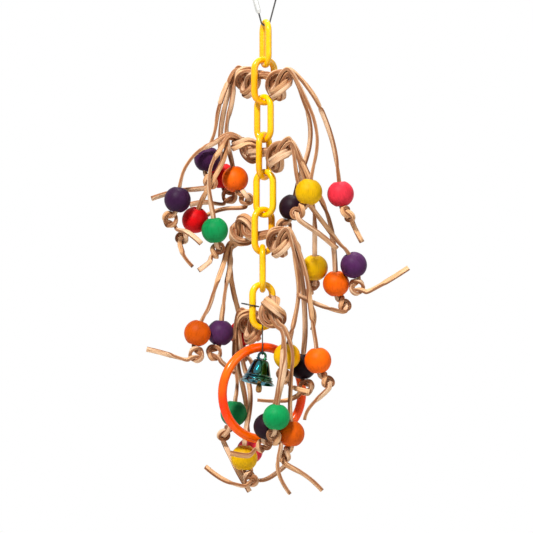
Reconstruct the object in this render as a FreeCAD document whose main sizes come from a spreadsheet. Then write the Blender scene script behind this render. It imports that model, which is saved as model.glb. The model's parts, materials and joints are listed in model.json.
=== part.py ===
import FreeCAD, Part
import math
import os
import Sketcher
from FreeCAD import Placement, Rotation, Vector

# Hanging chew toy for birds: a chain of plastic links carries four levels of knotted leather laces with
# wooden beads, and a wire hook under the last link carries a ring and a bell.
# Millimetres, +Z up, seen from -Y. The origin is the inner top of the hanger eye.

doc = FreeCAD.newDocument("BirdToy")
sheet = doc.addObject("Spreadsheet::Sheet", "Sizes")

sizes = {
    # hanger eye and its screw barrel
    "hanger_wire": 1.2,
    "hanger_top_radius": 12.0,
    "hanger_foot_radius": 3.3,
    "barrel_width": 4.0,
    "barrel_length": 15.0,
    "barrel_taper": 2.5,
    "barrel_drop": 22.0,
    # chain
    "link_wire": 4.3,
    "link_height": 36.95,
    "link_width": 20.0,
    "first_link_level": -61.9,
    "link_gap": 0.25,
    "seat_gap": 0.1,
    # beads
    "bead_width": 20.0,
    "bead_length": 18.2,
    "bead_bore": 7.0,
    # laces and knots
    "lace_width": 2.9,
    "lace_gap": 0.14,
    "stopper_knot_unit": 3.0,
    "big_knot_unit": 6.05,
    "bead_to_knot": 1.95,
    "bead_entry": 3.5,
    "lace_sag": 0.6,
    "tail_turn": 4.0,
    "bead_plumb": 0.35,
    # orange ring
    "ring_width": 75.5,
    "ring_tube": 6.8,
    "ring_turn": 30.0,
    "ring_gap": 0.3,
    # wire hook
    "hook_wire": 0.9,
    "hook_side_gap": 0.35,
    "hook_drop": 20.25,
    # bell and clapper
    "bell_width": 26.5,
    "bell_height": 17.7,
    "bell_flare": 4.6,
    "bell_lip": 1.6,
    "ridge_wire": 0.45,
    "bell_wall": 0.9,
    "bell_tilt": 10.5,
    "bell_lean": 9.0,
    "bell_crown_width": 13.0,
    "eyelet_width": 6.3,
    "eyelet_bore": 3.7,
    "clapper_width": 4.4,
    "clapper_drop": 5.2,
    "clapper_length": 21.0,
    "clapper_wire": 0.9,
    "clapper_shaft_width": 2.8,
    "clapper_shaft_thickness": 1.0,
    "clapper_tilt": 4.0,
    # split ring
    "split_ring_width": 14.2,
    "split_ring_wire": 1.0,
    "split_ring_tilt": 11.0,
    "split_ring_aside": 117.0,
    "split_ring_lift": 0.3,
}

for row, (name, value) in enumerate(sizes.items(), start=1):
    sheet.set(f"A{row}", name)
    sheet.set(f"B{row}", str(value))
    sheet.setAlias(f"B{row}", name)
doc.recompute()


def size(name):
    return float(sheet.get(name))


sub_parts = []


def keep(item, label, place):
    item.Label = label
    item.Placement = place
    sub_parts.append(item)
    return item


def bound(kind, name, **expressions):
    """A primitive whose sizes follow the sheet."""
    item = doc.addObject(kind, name)
    for prop, expression in expressions.items():
        item.setExpression(prop, expression)
    return item


def new_sketch(body, name, role):
    sketch = body.newObject("Sketcher::SketchObject", name)
    plane = next(item for item in body.Origin.OriginFeatures if item.Role == role)
    sketch.AttachmentSupport = [(plane, "")]
    sketch.MapMode = "FlatFace"
    return sketch


def turned_body(name, outline):
    """A body turned about its own Z axis from a closed outline of lines and arcs in its XZ plane."""
    body = doc.addObject("PartDesign::Body", name)
    sketch = new_sketch(body, name + "_outline", "XZ_Plane")
    for curve in outline:
        sketch.addGeometry(curve)
    turn = body.newObject("PartDesign::Revolution", name + "_turn")
    turn.Profile = sketch
    turn.ReferenceAxis = (sketch, ["V_Axis"])
    turn.Angle = 360
    sketch.Visibility = False
    return body, sketch


def flat(x, z):
    return Vector(x, z, 0)


# Chain

link_pitch = size("link_height") - 2 * size("link_wire") - size("link_gap")
# how far each link is turned about the vertical, and how far it hangs off the middle
link_turns = [-73, 20, -50, 61, -38, 36, -89, 20]
link_shifts = [0.0, -0.9, -1.2, -1.0, -0.6, -1.7, -2.2, -2.3]
link_centres = []
for number, shift in enumerate(link_shifts):
    link_centres.append(Vector(shift, 0, size("first_link_level") - number * link_pitch))


def chain_link(number):
    """A round-ended link: two half rings and two straight sides, fused."""
    name = f"chain_link_{number}"
    bend = "(Sizes.link_width - Sizes.link_wire) / 2"
    straight = "Sizes.link_height - Sizes.link_width"
    parts = []
    for end, spin in (("top", 0), ("foot", 180)):
        arch = bound("Part::Torus", f"{name}_{end}", Radius1=bend, Radius2="Sizes.link_wire / 2")
        arch.Angle3 = 180
        arch.Placement.Rotation = Rotation(Vector(0, 1, 0), spin) * Rotation(Vector(1, 0, 0), 90)
        sign = "" if end == "top" else "-"
        arch.setExpression("Placement.Base.z", f"{sign}({straight}) / 2")
        parts.append(arch)
    for side, sign in (("right", ""), ("left", "-")):
        rod = bound("Part::Cylinder", f"{name}_{side}", Radius="Sizes.link_wire / 2", Height=straight)
        rod.setExpression("Placement.Base.x", f"{sign}({bend})")
        rod.setExpression("Placement.Base.z", f"-({straight}) / 2")
        parts.append(rod)
    link = doc.addObject("Part::MultiFuse", name)
    link.Shapes = parts
    turn = Rotation(Vector(0, 0, 1), link_turns[number - 1])
    keep(link, name, Placement(link_centres[number - 1], turn))


for number in range(1, len(link_turns) + 1):
    chain_link(number)


# Wire loops with two round ends of different size

def loop_of_wire(name, foot_radius, head_radius, distance, wire, place):
    """A closed loop of round wire in the local XZ plane. The foot arc is centred on the local origin and
    the head arc stands `distance` above it."""
    lean = math.asin((head_radius - foot_radius) / distance)
    across = Vector(math.cos(lean), 0, -math.sin(lean))
    mirrored = Vector(-across.x, 0, across.z)
    head = Vector(0, 0, distance)
    foot_arc = Part.Arc(mirrored * foot_radius, Vector(0, 0, -foot_radius), across * foot_radius)
    head_arc = Part.Arc(head + across * head_radius, head + Vector(0, 0, head_radius),
                        head + mirrored * head_radius)
    right = Part.LineSegment(across * foot_radius, head + across * head_radius)
    left = Part.LineSegment(head + mirrored * head_radius, mirrored * foot_radius)
    path = Part.Wire([curve.toShape() for curve in (right, head_arc, left, foot_arc)])
    along = head + across * head_radius - across * foot_radius
    section = Part.Wire([Part.Circle(across * foot_radius, along, wire / 2).toShape()])
    item = doc.addObject("Part::Feature", name)
    item.Shape = path.makePipeShell([section], True, False)
    keep(item, name, place)
    return lean


# Hanger: a pear-shaped wire eye under the first link's crown, with a screw barrel on its left leg

hanger_seat = (size("first_link_level") + size("link_height") / 2 - size("link_wire")
               - size("hanger_wire") / 2 - size("seat_gap"))
hanger_foot = Vector(0, 0, hanger_seat + size("hanger_foot_radius"))
hanger_head = -size("hanger_top_radius") + size("hanger_wire") / 2
hanger_lean = loop_of_wire("hanger_eye", size("hanger_foot_radius"), size("hanger_top_radius"),
                           hanger_head - hanger_foot.z, size("hanger_wire"), Placement(hanger_foot, Rotation()))


def screw_barrel():
    """A sleeve with a tapered lower end that closes the hanger's left leg."""
    bore = size("hanger_wire") / 2 + size("seat_gap") / 2
    radius = size("barrel_width") / 2
    nose = (bore + radius) / 2
    low = size("barrel_taper")
    high = size("barrel_length")
    corners = [(bore, 0), (nose, 0), (radius, low), (radius, high - low / 2), (nose, high), (bore, high)]
    outline = []
    for start, end in zip(corners, corners[1:] + corners[:1]):
        outline.append(Part.LineSegment(flat(*start), flat(*end)))
    body, sketch = turned_body("hanger_barrel", outline)
    lean = math.degrees(hanger_lean)
    leg = Vector(-math.cos(hanger_lean), 0, -math.sin(hanger_lean)) * size("hanger_foot_radius")
    along = Vector(-math.sin(hanger_lean), 0, math.cos(hanger_lean))
    place = hanger_foot + leg + along * (size("barrel_drop") - size("barrel_length"))
    keep(body, "hanger_barrel", Placement(place, Rotation(Vector(0, 1, 0), -lean)))


screw_barrel()


# Laces. Each lace runs from its left tail through a stopper knot, a bead, the left big knot, the chain link,
# the right big knot, a bead and a stopper knot to its right tail.

# half of an overhand knot, in knot units about its middle: the other half is this turned half round
knot_half = [(-1.55, -1.25, 0.4), (-0.55, -0.75, 1.75), (-0.7, 0.2, 3.3), (0.6, 1.3, 3.35),
             (1.75, 1.25, 2.5), (1.75, -0.05, 1.35), (0.8, -0.3, 0.2)]
knot_exit = (2.45, 1.0, -0.1)
knot_turns = knot_half + [(-x, -y, z) for x, y, z in reversed(knot_half)] + [knot_exit]
knot_lag = math.atan2(1.1, 1.25)

# how each level's three laces go through their link: where the bundle enters each big knot, which way it
# runs there, how the knot is rolled (0 up, 90 towards the viewer) and which hand it is tied. `measured` is
# the height of the link's middle that the level's other heights were taken with
levels = {
    1: {"link": 2, "measured": -90.0, "phase": 0, "orders": ("acb", "edf"),
        "left": {"along": 9.5, "angle": -33, "level": -86, "roll": 265, "hand": -1},
        "right": {"along": 9.3, "angle": -33, "level": -92, "roll": 90, "hand": -1}},
    2: {"link": 4, "measured": -146.2, "phase": 90, "orders": ("bac", "def"),
        "left": {"along": 7.5, "angle": -18, "level": -149, "roll": 290, "hand": 1},
        "right": {"along": 8.0, "angle": -35, "level": -146, "roll": 90, "hand": -1}},
    3: {"link": 6, "measured": -202.4, "phase": 0, "orders": ("abc", "def"),
        "left": {"along": 9.5, "angle": -24, "level": -201, "roll": 265, "hand": -1},
        "right": {"along": 8.5, "angle": -33, "level": -208, "roll": 60, "hand": -1}},
    4: {"link": 8, "measured": -258.6, "phase": 105, "orders": ("cba", "efd"),
        "left": {"along": 9.5, "angle": -36, "level": -267.5, "roll": 290, "hand": -1},
        "right": {"along": 7.0, "angle": -40, "level": -268.5, "roll": 75, "hand": -1}},
}

# the loose ends, from the big knot outwards: the bead's middle, the strand down to it, the roll and hand of
# its stopper knot and the cut tail
ends = {
    "1a": {"bead": (-44, 16, -148), "roll": 0, "hand": -1,
           "route": [(-31, 18, -95), (-36, 18, -111), (-38, 17, -127)],
           "tail": [(-70, 13, -172), (-86, 11, -178)]},
    "1b": {"bead": (-33, 38, -160), "roll": 40, "hand": -1,
           "route": [(-29, 28, -100), (-33, 34, -116), (-35, 37, -134)],
           "tail": [(-48, 41, -179), (-58, 40, -182)]},
    "1c": {"bead": (-23, 20, -163), "roll": 0, "hand": 1,
           "route": [(-25, 22, -105), (-30, 24, -121), (-29, 25, -137)],
           "tail": [(-35, 22, -185), (-44, 24, -190)]},
    "1d": {"bead": (20, -7, -185), "roll": 240, "hand": -1,
           "route": [(29, -19, -106), (34, -11, -124), (33, -7, -141), (27, -6, -158)],
           "tail": [(26, -14, -214), (24, -15, -221)]},
    "1e": {"bead": (32, -33, -174), "roll": 180, "hand": 1,
           "route": [(30, -30, -105), (37, -31, -122), (39, -32, -140)],
           "tail": [(42, -30, -206), (53, -28, -216)]},
    "1f": {"bead": (56, -12, -175), "roll": 40, "hand": 1,
           "route": [(36, -22, -101), (44, -16, -118), (51, -13, -138)],
           "tail": [(72, -12, -211)]},
    "2a": {"bead": (-66, 0, -179), "roll": 240, "hand": -1,
           "route": [(-37, 3, -136), (-51, 2, -142), (-61, 1, -155)],
           "tail": [(-57, -5, -203), (-48, -6, -212)]},
    "2b": {"bead": (-53, 11, -194), "roll": 200, "hand": 1,
           "route": [(-30, 4, -146), (-36, 2, -158), (-44, 3, -172)],
           "tail": [(-61, 10, -223), (-55, 8, -229)]},
    "2c": {"bead": (-38, 0, -202), "roll": 260, "hand": 1,
           "route": [(-33, 1, -140), (-41, 0, -152), (-43, -1, -167), (-41, -1, -182)],
           "tail": [(-43, -4, -227), (-50, -6, -232)]},
    "2d": {"bead": (37, 8, -230), "roll": 240, "hand": 1,
           "route": [(30, -17, -169), (36, -10, -183), (37, -3, -196), (37, 4, -210)],
           "tail": [(39, 8, -266), (35, 8, -277)]},
    "2e": {"bead": (53, 2, -242), "roll": 340, "hand": -1,
           "route": [(33, -24, -165), (41, -19, -178), (48, -10, -194), (51, -2, -212)],
           "tail": [(34, -14, -256), (24, -22, -250)]},
    "2f": {"bead": (66, -5, -228), "roll": 140, "hand": 1,
           "route": [(24, -21, -172), (34, -21, -185), (45, -15, -199), (56, -8, -213)],
           "tail": [(95, -6, -238), (107, -6, -230)]},
    "3a": {"bead": (-51, -4, -279), "roll": 40, "hand": -1,
           "route": [(-31, 8, -226), (-37, 3, -242), (-42, -2, -260)],
           "tail": [(-79, -4, -293), (-89, -4, -291)]},
    "3b": {"bead": (-34, 8, -279), "roll": 120, "hand": 1,
           "route": [(-26, 13, -227), (-30, 11, -244), (-32, 9, -261)],
           "tail": [(-23, 4, -309)]},
    "3c": {"bead": (-18, 42.5, -280), "roll": 100, "hand": 1,
           "route": [(-27, 25, -230), (-25, 34, -247), (-21, 40, -262)],
           "tail": [(-4, 38, -313)]},
    "3d": {"bead": (16, -15, -296), "roll": 280, "hand": -1,
           "route": [(24, -21, -234), (25, -18, -252), (21, -16, -272)],
           "tail": [(24, -24, -320), (33, -28, -322)]},
    "3e": {"bead": (28, 1, -304), "roll": 60, "hand": -1,
           "route": [(27, -13, -235), (29, -6, -254), (30, 0, -278)],
           "tail": [(12, -5, -331), (-6, -6, -329)]},
    "3f": {"bead": (39, -19, -299), "roll": 340, "hand": -1,
           "route": [(31, -24, -235), (33, -21, -256), (36, -20, -278)],
           "tail": [(30, -22, -335), (29, -22, -343)]},
    "4a": {"bead": (-24, 14, -340), "roll": 160, "hand": -1,
           "route": [(-25, 21, -301), (-21, 18, -314), (-22, 15, -326)],
           "tail": [(-27, 12, -371), (-20, 15, -386), (-12, 15, -399)]},
    "4b": {"bead": (-12, 26, -369), "roll": 140, "hand": 1,
           "route": [(-22, 28, -302), (-17, 29, -320), (-14, 28, -338), (-14, 26, -352)],
           "tail": [(3, 24, -391), (15, 23, -380)]},
    "4c": {"bead": (-16, 5, -373), "roll": 20, "hand": -1,
           "route": [(-18, 24, -301), (-12, 23, -317), (-11, 17, -335), (-15, 8, -352)],
           "tail": [(-34, 0, -389), (-45, -2, -379)]},
    "4d": {"bead": (8, -39, -340), "roll": 280, "hand": -1,
           "route": [(14, -36, -294), (12, -39, -308), (9, -39, -322)],
           "tail": [(7, -37, -382), (18, -34, -397)]},
    "4e": {"bead": (1, -20, -348), "roll": 280, "hand": 1,
           "route": [(9, -25, -293), (6, -23, -314), (3, -21, -332)],
           "tail": [(-13, -18, -371), (-26, -17, -368)]},
    "4f": {"bead": (19, -27, -353), "roll": 200, "hand": 1,
           "route": [(21, -29, -293), (19, -28, -309), (18, -27, -332)],
           "tail": [(33, -29, -385), (42, -30, -395)]},
}


def unit(vector):
    return Vector(vector).normalize()


def corner_turn(points, i):
    return (points[i] - points[i - 1]).getAngle(points[i + 1] - points[i])


def easy_radii(points):
    """The bend at each point of a lace: as wide as nearly half of the shorter run beside it allows."""
    radii = [0.0]
    for i in range(1, len(points) - 1):
        shorter = min((points[i] - points[i - 1]).Length, (points[i + 1] - points[i]).Length)
        radii.append(0.45 * shorter / math.tan(corner_turn(points, i) / 2))
    return radii + [0.0]


def overhand_knot(start, along, towards, hand, unit_length):
    """The points of an overhand knot that starts at `start`, runs `along` and bulges `towards`."""
    first = unit(along)
    bulge = unit(towards - first * towards.dot(first))
    side = first.cross(bulge) * hand
    second = bulge * math.cos(knot_lag) - side * math.sin(knot_lag)
    third = bulge * math.sin(knot_lag) + side * math.cos(knot_lag)
    x0, y0, z0 = knot_turns[0]
    points = []
    for x, y, z in knot_turns:
        points.append(start + (first * (x - x0) + second * (y - y0) + third * (z - z0)) * unit_length)
    return points


def level_rise(level):
    """How far a level has moved with its link since its heights were measured."""
    spec = levels[level]
    return Vector(0, 0, round(link_centres[spec["link"] - 1].z - spec["measured"], 6))


def loose_end(name):
    """One end of a lace, from the big knot out, and where its bead sits."""
    spec = ends[name]
    rise = level_rise(int(name[0]))
    bead = Vector(*spec["bead"]) + rise
    route = [Vector(*point) + rise for point in spec["route"]]
    axis = unit(unit(bead - route[-1]) + Vector(0, 0, -size("bead_plumb")))
    across = Vector(1, 0, 0)
    across = unit(across - axis * across.dot(axis))
    roll = math.radians(spec["roll"])
    towards = across * math.cos(roll) + axis.cross(across) * math.sin(roll)
    entry = bead - axis * (size("bead_length") / 2 + size("bead_entry"))
    knot_start = bead + axis * (size("bead_length") / 2 + size("bead_to_knot"))
    knot = overhand_knot(knot_start, axis, towards, spec["hand"], size("stopper_knot_unit"))
    tail = [Vector(*point) + rise for point in spec["tail"]]
    # the tail bends out of its knot in two easy turns
    leaving = unit(unit(knot[-1] - knot[-2]) + unit(tail[0] - knot[-1]))
    turning = knot[-1] + leaving * size("tail_turn")
    return route + [entry, bead - towards * size("lace_sag")] + knot + [turning] + tail, bead, axis


def bundle_starts(level):
    """Where the three laces of a level enter their two big knots, and which way they run there."""
    spec = levels[level]
    starts = {}
    for side, sign in (("left", -1), ("right", 1)):
        angle = math.radians(spec[side]["angle"])
        along = Vector(math.cos(angle), math.sin(angle), 0) * sign
        start = link_centres[spec["link"] - 1] + along * spec[side]["along"]
        start.z = spec[side]["level"] + level_rise(level).z
        starts[side] = (start, along)
    return starts


def big_knot(level, side):
    """The middle line of one big knot, led from the far side of the link."""
    starts = bundle_starts(level)
    start, along = starts[side]
    other = starts["left" if side == "right" else "right"][0]
    spec = levels[level][side]
    roll = math.radians(spec["roll"])
    viewer = Vector(along.y, -along.x, 0) * (1 if along.x > 0 else -1)
    towards = Vector(0, 0, 1) * math.cos(roll) + viewer * math.sin(roll)
    return [other] + overhand_knot(start, along, towards, spec["hand"], size("big_knot_unit"))


def beside(points, offset):
    """A line that keeps `offset` from the middle line round all its bends, with its own bend radii."""
    middle_radii = easy_radii(points)
    line = [points[0] + offset]
    radii = [0.0]
    for i in range(1, len(points) - 1):
        before = unit(points[i] - points[i - 1])
        after = unit(points[i + 1] - points[i])
        hinge = unit(before.cross(after))
        inward = hinge.cross(before)
        inner = offset.dot(inward)
        aside = hinge * offset.dot(hinge)
        half_turn = corner_turn(points, i) / 2
        line.append(points[i] + aside + unit(after - before) * (inner / math.cos(half_turn)))
        radii.append(middle_radii[i] - inner)
        offset = aside + hinge.cross(after) * inner
    return line + [points[-1] + offset], radii + [0.0]


def lace_line(level, number):
    """All the points of one lace of a level and the radius of the bend at each."""
    starts = bundle_starts(level)
    bridge = unit(starts["right"][0] - starts["left"][0])
    first = unit(bridge.cross(Vector(0, 0, 1)))
    second = bridge.cross(first)
    angle = math.radians(levels[level]["phase"] + 120 * number)
    spread = (size("lace_width") + size("lace_gap")) / math.sqrt(3)
    offset = (first * math.cos(angle) + second * math.sin(angle)) * spread
    halves = []
    for side, order in zip(("left", "right"), levels[level]["orders"]):
        line, radii = beside(big_knot(level, side), offset)
        outer, bead, axis = loose_end(f"{level}{order[number]}")
        points = line + outer
        bends = easy_radii(points)
        bends[1:len(line) - 1] = radii[1:-1]
        halves.append((points[1:], bends[1:]))
    left_points, left_bends = halves[0]
    right_points, right_bends = halves[1]
    return left_points[::-1] + right_points, left_bends[::-1] + right_bends


def round_cord(points, radii, width):
    """A round cord of straight runs and tangent arcs."""
    edges = []
    reached = points[0]
    for i in range(1, len(points) - 1):
        back = unit(points[i - 1] - points[i])
        ahead = unit(points[i + 1] - points[i])
        half_turn = corner_turn(points, i) / 2
        cut = radii[i] * math.tan(half_turn)
        start = points[i] + back * cut
        end = points[i] + ahead * cut
        middle = points[i] + unit(back + ahead) * (radii[i] / math.cos(half_turn) - radii[i])
        edges.append(Part.LineSegment(reached, start).toShape())
        edges.append(Part.Arc(start, middle, end).toShape())
        reached = end
    edges.append(Part.LineSegment(reached, points[-1]).toShape())
    section = Part.Wire([Part.Circle(points[0], points[1] - points[0], width / 2).toShape()])
    return Part.Wire(edges).makePipe(Part.Face(section))


laces = 0
for level in levels:
    for number in range(3):
        laces += 1
        points, radii = lace_line(level, number)
        lace = doc.addObject("Part::Feature", f"lace_{laces}")
        lace.Shape = round_cord(points, radii, size("lace_width"))
        keep(lace, f"lace_{laces}", Placement())
        print(f"lace_{laces} radii", " ".join(f"{radius:.1f}" for radius in radii[1:-1]))


# Beads: turned balls with flat ends and a wide bore

def bead(name):
    half = size("bead_length") / 2
    ball = size("bead_width") / 2
    bore = size("bead_bore") / 2
    rim = math.sqrt(ball ** 2 - half ** 2)
    swing = math.asin(half / ball)
    outline = [
        Part.LineSegment(flat(bore, -half), flat(rim, -half)),
        Part.ArcOfCircle(Part.Circle(flat(0, 0), Vector(0, 0, 1), ball), -swing, swing),
        Part.LineSegment(flat(rim, half), flat(bore, half)),
        Part.LineSegment(flat(bore, half), flat(bore, -half)),
    ]
    label = f"bead_{name}"
    body, sketch = turned_body(label, outline)
    sketch.addConstraint(Sketcher.Constraint("Radius", 1, ball))
    sketch.setExpression("Constraints[0]", "Sizes.bead_width / 2")
    points, centre, axis = loose_end(name)
    keep(body, label, Placement(centre, Rotation(Vector(0, 0, 1), axis)))


for name in ends:
    bead(name)


# Wire hook: a slim loop that hangs on the last link's foot and carries the ring and the bell

last_link = link_centres[-1]
# the last link's foot crosses the hook's plane at a slant, so its cut there is wider than the wire
foot_half_width = size("link_wire") / 2 / math.cos(math.radians(link_turns[-1]))
hook_top_radius = foot_half_width + size("hook_wire") / 2 + size("seat_gap")
ring_tilt = math.radians(size("ring_turn"))
hook_foot_radius = (size("ring_tube") / 2 / math.cos(ring_tilt) + size("hook_side_gap")
                    + size("hook_wire") / 2)
foot_wire_level = last_link.z - size("link_height") / 2 + size("link_wire") / 2
hook_bend_level = foot_wire_level - size("hook_drop")


hook_foot = Vector(last_link.x, 0, hook_bend_level + hook_foot_radius)
hook_head_level = foot_wire_level + size("link_wire") / 2 - foot_half_width
loop_of_wire("hook_loop", hook_foot_radius, hook_top_radius, hook_head_level - hook_foot.z, size("hook_wire"),
             Placement(hook_foot, Rotation(Vector(0, 0, 1), 90)))


# Orange ring, resting on the bell's eyelet inside the hook

eyelet_wire = (size("eyelet_width") - size("eyelet_bore")) / 2
eyelet_top = hook_bend_level + size("hook_wire") / 2 + size("seat_gap") + eyelet_wire
ring_radius = (size("ring_width") - size("ring_tube")) / 2
ring_top = eyelet_top + size("ring_gap") + size("ring_tube") / 2
ring = bound("Part::Torus", "orange_ring", Radius1="(Sizes.ring_width - Sizes.ring_tube) / 2",
             Radius2="Sizes.ring_tube / 2")
keep(ring, "orange_ring", Placement(Vector(last_link.x, 0, ring_top - ring_radius),
                                    Rotation(Vector(0, 0, 1), size("ring_turn")) * Rotation(Vector(1, 0, 0), 90)))


# Bell, turned from one outline, with an eyelet on its crown and a bar inside for the clapper

# the eyelet's bore hangs on the hook's foot, and the bell swings about that wire
bell_origin = Vector(last_link.x, 0, hook_bend_level)
bell_turn = (Rotation(Vector(1, 0, 0), -size("bell_lean")) * Rotation(Vector(0, 1, 0), size("bell_tilt")))
eyelet_centre = -(size("eyelet_bore") / 2 - size("hook_wire") / 2 - size("seat_gap"))
# the eyelet's foot is sunk into the crown, and the bell's outline keeps these shares of its sizes
eyelet_sink = 0.6
waist_of_mouth = 0.78
shoulder_of_crown = 1.26
top_of_crown = 0.75
shoulder_depth = 0.3
top_depth = 0.03
bar_depth = 0.17
ridge_sink = 0.2
ridge_widening = 0.2
crown_level = eyelet_centre - size("eyelet_bore") / 2 - eyelet_wire * eyelet_sink
mouth_level = crown_level - size("bell_height")
bar_level = crown_level - size("bell_wall") - size("bell_height") * bar_depth


def bell():
    wall = size("bell_wall")
    mouth = size("bell_width") / 2
    crown = size("bell_crown_width") / 2
    flare = mouth_level + size("bell_flare")
    lip = mouth_level + size("bell_lip")
    waist = mouth * waist_of_mouth
    shoulder = crown * shoulder_of_crown
    shoulder_level = crown_level - size("bell_height") * shoulder_depth
    top = crown * top_of_crown
    top_level = crown_level - size("bell_height") * top_depth
    outside = [(0, crown_level), (top, top_level), (shoulder, shoulder_level),
               (waist, flare), (mouth - wall, lip), (mouth, mouth_level)]
    inside = [(mouth - wall, mouth_level), (mouth - 2 * wall, lip), (waist - wall, flare),
              (shoulder - wall, shoulder_level - wall), (top - wall, top_level - wall),
              (0, crown_level - wall)]
    outer_curve = Part.BSplineCurve()
    outer_curve.interpolate([flat(*point) for point in outside])
    inner_curve = Part.BSplineCurve()
    inner_curve.interpolate([flat(*point) for point in inside])
    outline = [outer_curve, Part.LineSegment(flat(*outside[-1]), flat(*inside[0])), inner_curve,
               Part.LineSegment(flat(*inside[-1]), flat(*outside[0]))]
    body, sketch = turned_body("bell", outline)
    eyelet = body.newObject("PartDesign::AdditiveTorus", "bell_eyelet")
    eyelet.setExpression("Radius1", "(Sizes.eyelet_width + Sizes.eyelet_bore) / 4")
    eyelet.setExpression("Radius2", "(Sizes.eyelet_width - Sizes.eyelet_bore) / 4")
    eyelet.Placement = Placement(Vector(0, 0, eyelet_centre), Rotation(Vector(1, 0, 0), 90))
    ridge_step = size("ridge_wire") * 4
    for count in range(2):
        ridge = body.newObject("PartDesign::AdditiveTorus", f"bell_ridge_{count + 1}")
        ridge.Radius1 = waist - size("ridge_wire") * ridge_sink + (mouth - waist) * ridge_widening * count
        ridge.setExpression("Radius2", "Sizes.ridge_wire")
        # turned so that its seam stays clear of the wall's own seam
        ridge.Placement = Placement(Vector(0, 0, flare - ridge_step * count), Rotation(Vector(0, 0, 1), 40))
    bar = body.newObject("PartDesign::AdditiveCylinder", "bell_bar")
    bar.setExpression("Radius", "Sizes.clapper_wire / 2")
    # the bar ends just inside the wall
    bar.Height = 2 * shoulder - 2.2 * wall
    bar.Placement = Placement(Vector(0, bar.Height.Value / 2, bar_level), Rotation(Vector(1, 0, 0), 90))
    body.Tip = bar
    keep(body, "bell", Placement(bell_origin, bell_turn))


bell()


def clapper():
    """A drop on a flat shaft, with an eye round the bell's bar."""
    wire = size("clapper_wire")
    drop = size("clapper_width") / 2
    length = size("clapper_length")
    neck = size("clapper_shaft_thickness") / 2
    # the eye's middle radius leaves room for the bar
    eye = wire * 1.25
    shoulder = size("clapper_drop") - length
    widest = drop - length
    corner = drop * math.sqrt(0.5)
    outline = [
        Part.LineSegment(flat(0, shoulder), flat(neck, shoulder)),
        Part.LineSegment(flat(neck, shoulder), flat(drop, widest)),
        Part.Arc(flat(drop, widest), flat(corner, widest - corner), flat(0, -length)),
        Part.LineSegment(flat(0, -length), flat(0, shoulder)),
    ]
    body, sketch = turned_body("clapper", outline)
    shaft = body.newObject("PartDesign::AdditiveBox", "clapper_shaft")
    shaft.setExpression("Length", "Sizes.clapper_shaft_width")
    shaft.setExpression("Width", "Sizes.clapper_shaft_thickness")
    shaft.Height = length - drop - eye
    shaft.Placement = Placement(Vector(-size("clapper_shaft_width") / 2, -neck, widest), Rotation())
    loop = body.newObject("PartDesign::AdditiveTorus", "clapper_eye")
    loop.Radius1 = eye
    loop.setExpression("Radius2", "Sizes.clapper_wire / 2")
    loop.Placement = Placement(Vector(0, 0, 0), Rotation(Vector(1, 0, 0), 90))
    body.Tip = loop
    # the eye's upper side hangs on the bar
    hang = Vector(0, 0, bar_level - (eye - wire - size("seat_gap")))
    plumb = Rotation(Vector(1, 0, 0), -size("bell_lean")) * Rotation(Vector(0, 1, 0), size("clapper_tilt"))
    bar_place = bell_origin + bell_turn.multVec(Vector(0, 0, bar_level))
    keep(body, "clapper", Placement(bar_place + plumb.multVec(hang - Vector(0, 0, bar_level)), plumb))


clapper()


# Split ring round the last link's left side

def split_ring():
    radius = "(Sizes.split_ring_width - Sizes.split_ring_wire) / 2"
    ring = bound("Part::Torus", "split_ring", Radius1=radius, Radius2="Sizes.split_ring_wire / 2")
    turn = Rotation(Vector(0, 0, 1), link_turns[-1])
    side = turn.multVec(Vector(-(size("link_width") - size("link_wire")) / 2, 0, 0))
    inner = size("split_ring_width") / 2 - size("split_ring_wire")
    shift = inner - size("link_wire") / 2 - size("seat_gap")
    tilt = Rotation(Vector(0, 1, 0), size("split_ring_tilt"))
    aside = Rotation(Vector(0, 0, 1), size("split_ring_aside")).multVec(Vector(shift, 0, 0))
    lift = Vector(0, 0, size("split_ring_lift"))
    keep(ring, "split_ring", Placement(last_link + side + tilt.multVec(aside) + lift, tilt))


split_ring()


# Checks and export

doc.recompute()
for item in doc.Objects:
    if "Invalid" in item.State or "Error" in item.State:
        raise RuntimeError(f"{item.Name} failed: {item.State}")
os.makedirs("parts", exist_ok=True)
for item in sub_parts:
    shape = item.Shape
    if shape.isNull() or not shape.isValid():
        raise RuntimeError(f"{item.Label} has no valid shape")
    if len(shape.Solids) != 1:
        raise RuntimeError(f"{item.Label} is {len(shape.Solids)} solids")
    shape.exportStep(f"parts/{item.Label}.step")
print(len(sub_parts), "sub-parts")
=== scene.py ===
import bpy
import bmesh
import json
import math
import numpy as np
from mathutils import Matrix, Vector, noise


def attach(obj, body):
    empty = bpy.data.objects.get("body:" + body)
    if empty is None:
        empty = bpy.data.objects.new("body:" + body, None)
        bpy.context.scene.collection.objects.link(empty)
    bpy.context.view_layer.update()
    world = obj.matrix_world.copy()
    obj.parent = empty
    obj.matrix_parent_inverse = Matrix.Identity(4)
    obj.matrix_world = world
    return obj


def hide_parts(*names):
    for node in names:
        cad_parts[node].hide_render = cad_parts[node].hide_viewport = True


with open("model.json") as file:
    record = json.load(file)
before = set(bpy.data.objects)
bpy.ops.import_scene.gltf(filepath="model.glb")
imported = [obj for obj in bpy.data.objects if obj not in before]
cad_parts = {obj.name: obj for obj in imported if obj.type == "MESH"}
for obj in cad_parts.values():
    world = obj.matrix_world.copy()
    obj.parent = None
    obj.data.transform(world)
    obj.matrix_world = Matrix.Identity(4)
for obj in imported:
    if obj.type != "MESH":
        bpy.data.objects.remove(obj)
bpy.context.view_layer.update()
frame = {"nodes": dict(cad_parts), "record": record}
mm = 0.001
record = frame["record"]
slotOfNode = {piece["node"]: piece["material_slot"] for piece in record["subparts"]}
print("frame loaded:", len(frame["nodes"]), "nodes")


# camera, set where the photograph was taken from: straight in front with a long lens

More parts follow.
